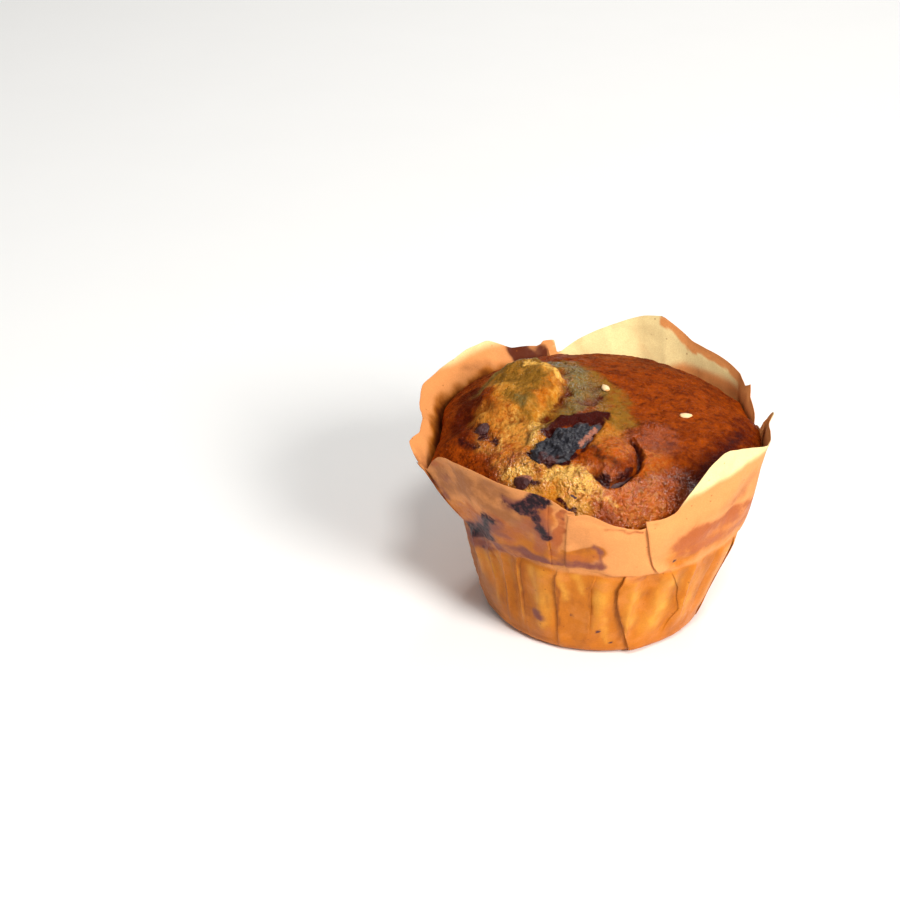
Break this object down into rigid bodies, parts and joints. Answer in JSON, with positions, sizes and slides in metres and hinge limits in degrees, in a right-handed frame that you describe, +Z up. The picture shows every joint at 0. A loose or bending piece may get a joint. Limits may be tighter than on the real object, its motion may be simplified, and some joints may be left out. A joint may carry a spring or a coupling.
{
  "type": "blueberry muffin in a paper case",
  "caption": "Baked blueberry muffin with a lumpy crown and open berries, standing in its folded parchment tulip case.",
  "frame": {"origin": "the middle of the paper case's flat underside", "axes": "+Z up through the crown; the muffin's front, with its low fold and burst berries, faces -Y"},
  "size_m": [0.0848, 0.0855, 0.0589],
  "materials": {
    "cake": "satin",
    "parchment": "satin",
    "blueberry": "gloss",
    "sesame": "satin"
  },
  "bodies": {
    "root": {"muffin": "cake", "paper_case": "parchment", "blueberry_burst": "blueberry", "blueberry_hooded": "blueberry", "blueberry_left": "blueberry", "blueberry_split": "blueberry", "blueberry_rim": "blueberry", "blueberry_side": "blueberry", "sesame_seed_back": "sesame", "sesame_seed_right": "sesame"}
  },
  "joints": []
}
